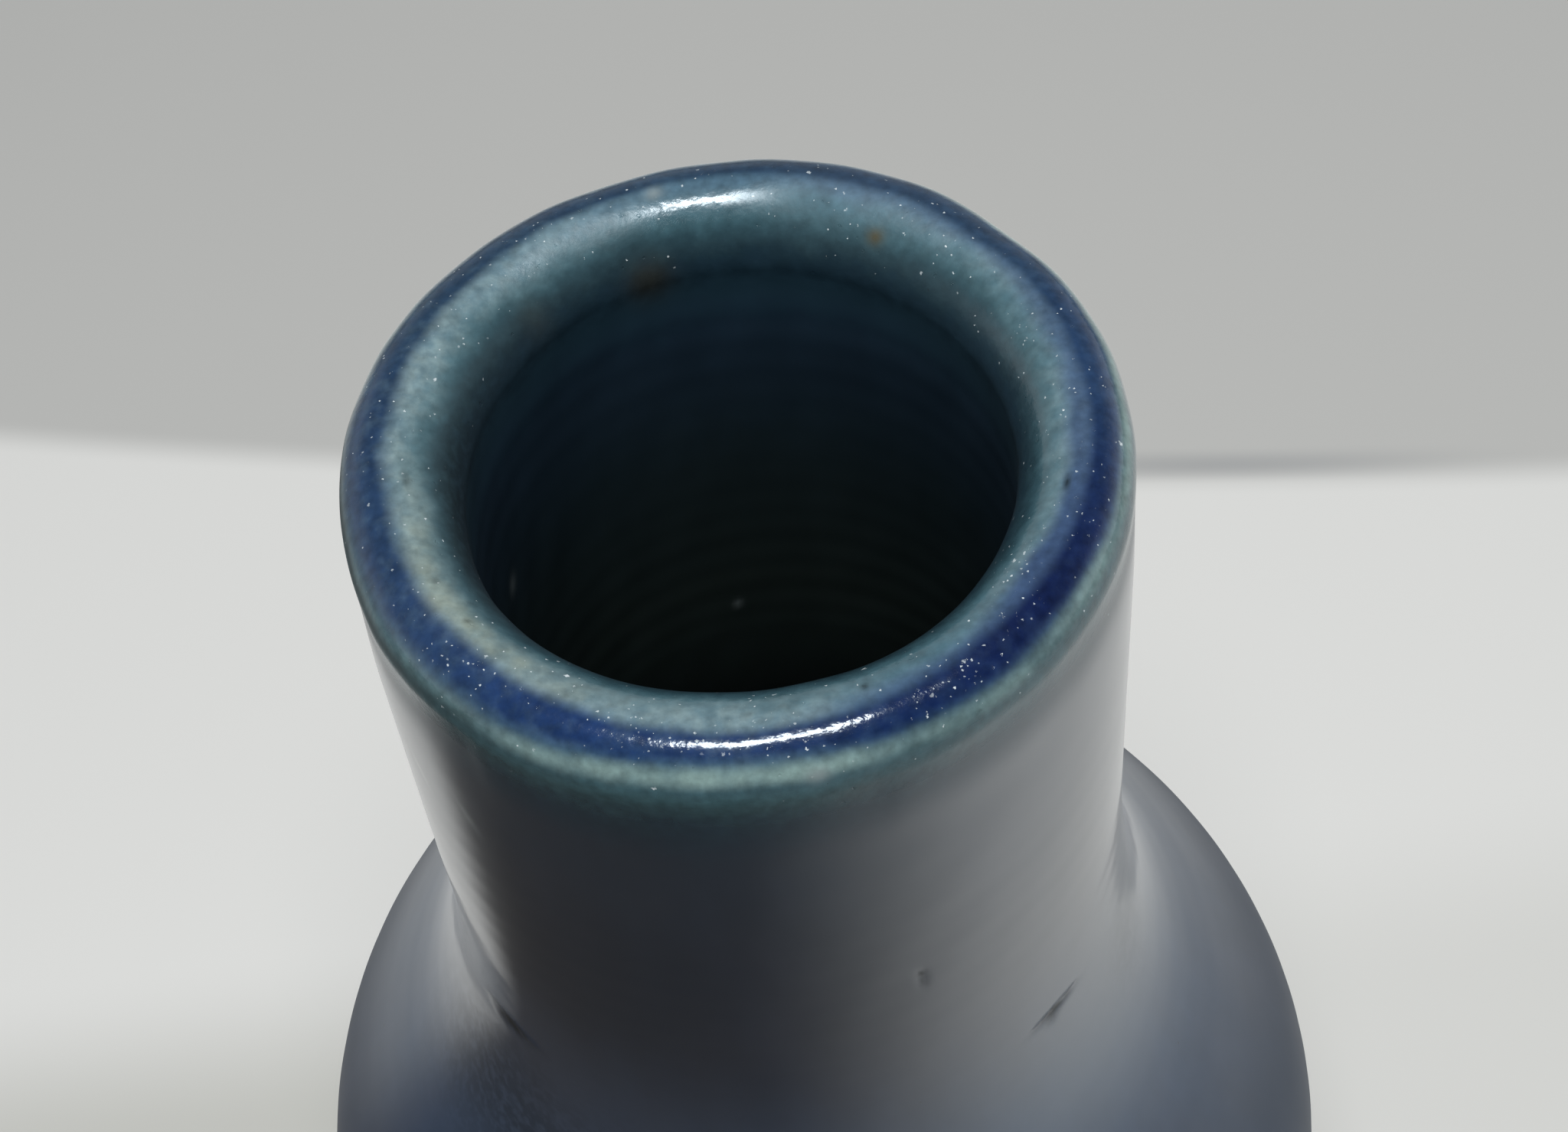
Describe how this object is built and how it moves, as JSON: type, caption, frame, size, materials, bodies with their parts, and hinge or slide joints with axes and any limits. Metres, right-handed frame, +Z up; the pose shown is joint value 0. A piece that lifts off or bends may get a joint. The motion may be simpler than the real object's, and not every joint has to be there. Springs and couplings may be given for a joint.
{
  "type": "glazed faience jar",
  "caption": "Open bottle-shaped jar with a thick rounded lip, straight neck, sloping shoulder and low foot ring, under a deep blue glaze.",
  "frame": {"origin": "centre of the foot ring's underside, on the surface that the jar stands on", "axes": "+Z up along the jar's axis of revolution; X and Y level"},
  "size_m": [0.0632, 0.0632, 0.122],
  "materials": {
    "paste": "matte",
    "luting_slip": "matte",
    "body_glaze": "satin",
    "lip_glaze": "gloss",
    "inner_glaze": "gloss"
  },
  "bodies": {
    "root": {"foot_ring": "paste", "foot_luting": "luting_slip", "lower_body": "paste", "belly_luting": "luting_slip", "upper_body": "paste", "neck_luting": "luting_slip", "neck": "paste", "lip_luting": "luting_slip", "lip": "paste", "outer_glaze": "body_glaze", "lip_glaze": "lip_glaze", "inner_glaze": "inner_glaze"}
  },
  "joints": []
}
